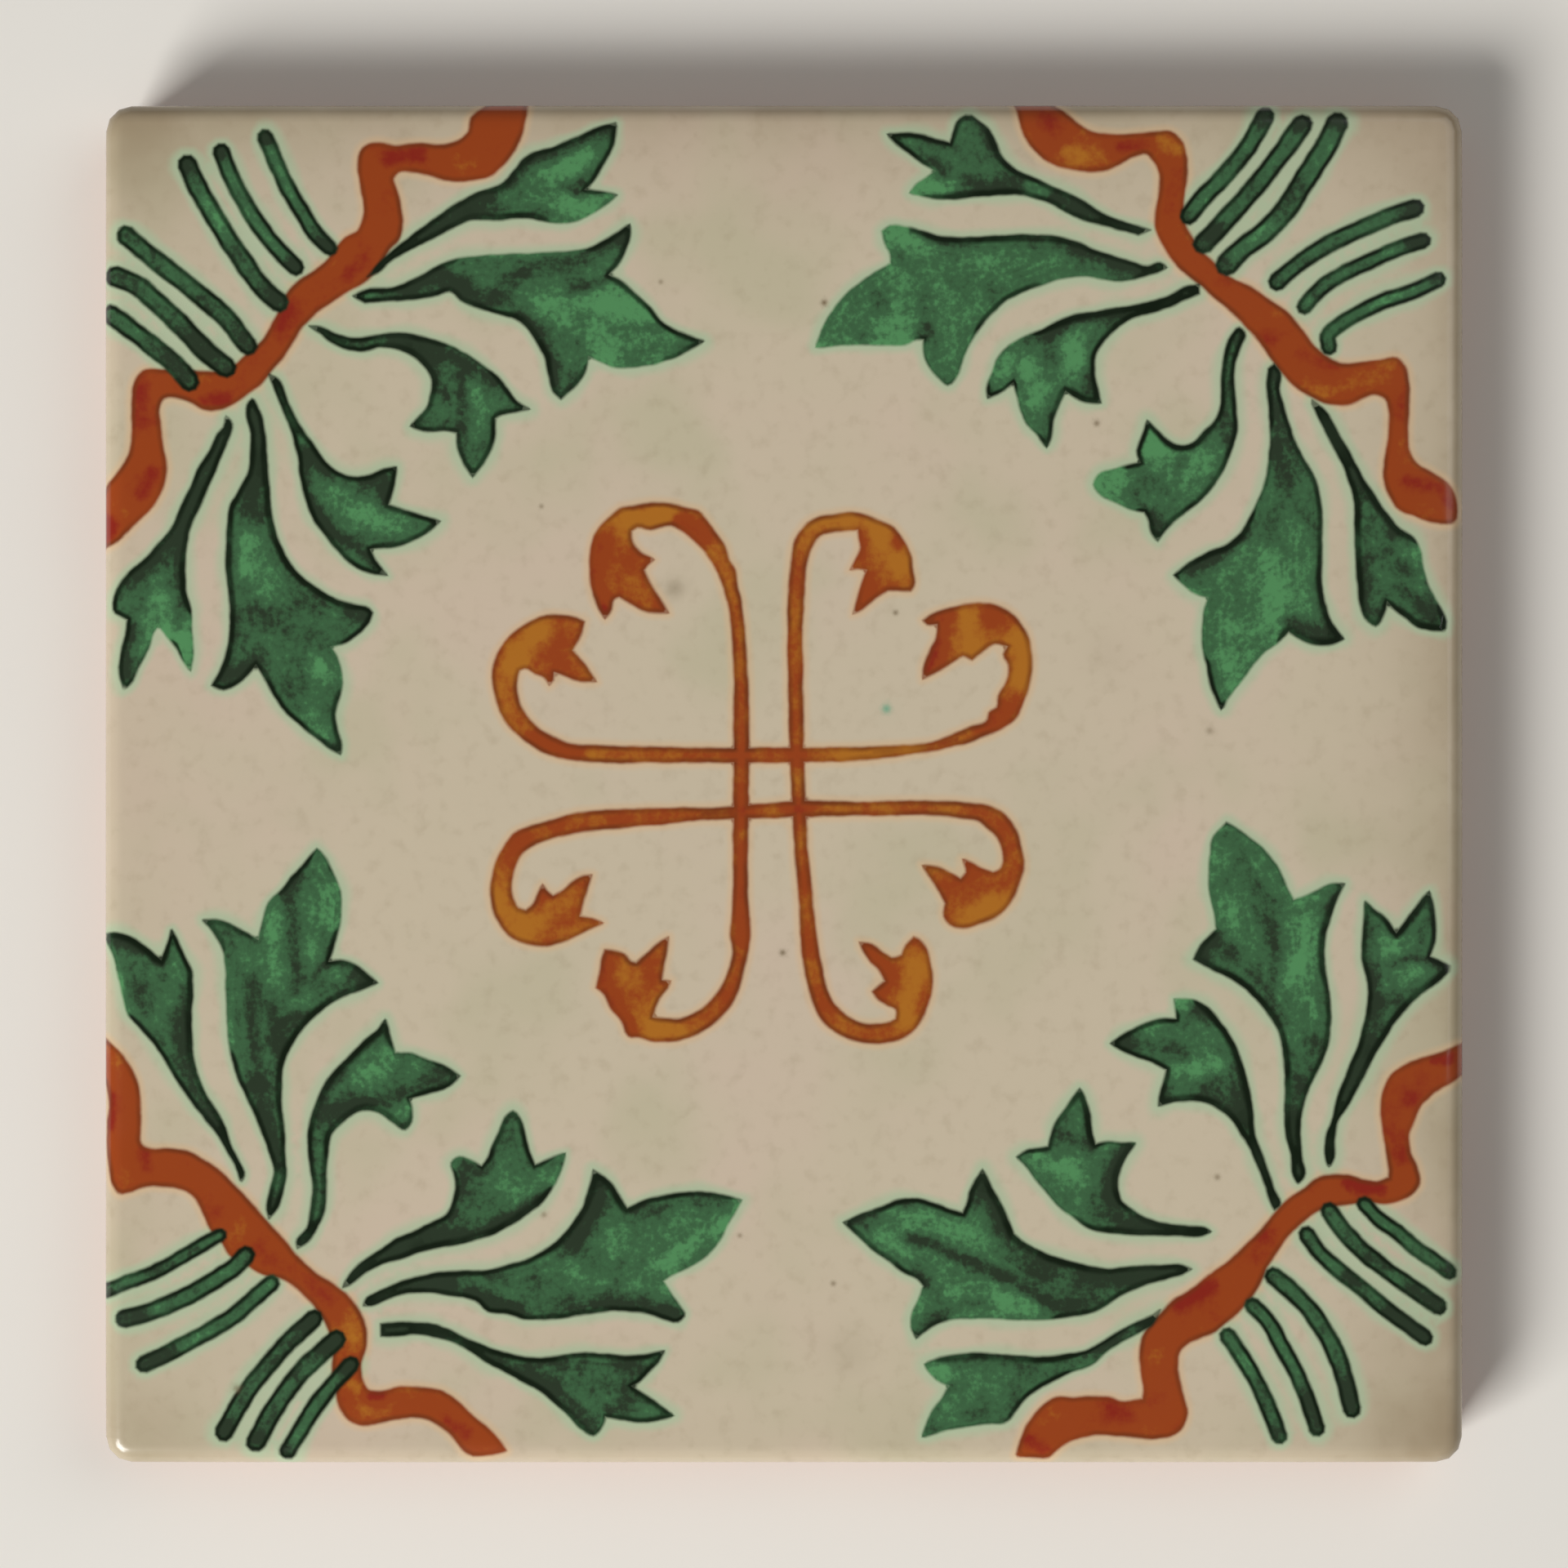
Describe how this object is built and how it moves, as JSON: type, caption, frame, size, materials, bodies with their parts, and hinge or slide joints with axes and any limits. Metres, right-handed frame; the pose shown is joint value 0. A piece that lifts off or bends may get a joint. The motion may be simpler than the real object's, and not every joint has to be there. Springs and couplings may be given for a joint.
{
  "type": "handmade clay tile",
  "caption": "Square handmade clay tile with a crowned, glazed and hand-painted face: leaf sprays and ribbons round the corners and a scrolled cross in the middle. Its back is plain and flat.",
  "frame": {"origin": "centre of the flat back face, on the plane that the tile is bedded on", "axes": "+Z out of the glazed face; +X to the right and +Y to the upper side of the painted pattern, seen from the front"},
  "size_m": [0.105, 0.105, 0.008],
  "materials": {
    "glazed_clay": "glossy cream glaze with green, rust and ochre brushwork on the face and over the rim; bare terracotta on the sides and back"
  },
  "bodies": {
    "root": {"tile": "glazed_clay"}
  },
  "joints": []
}
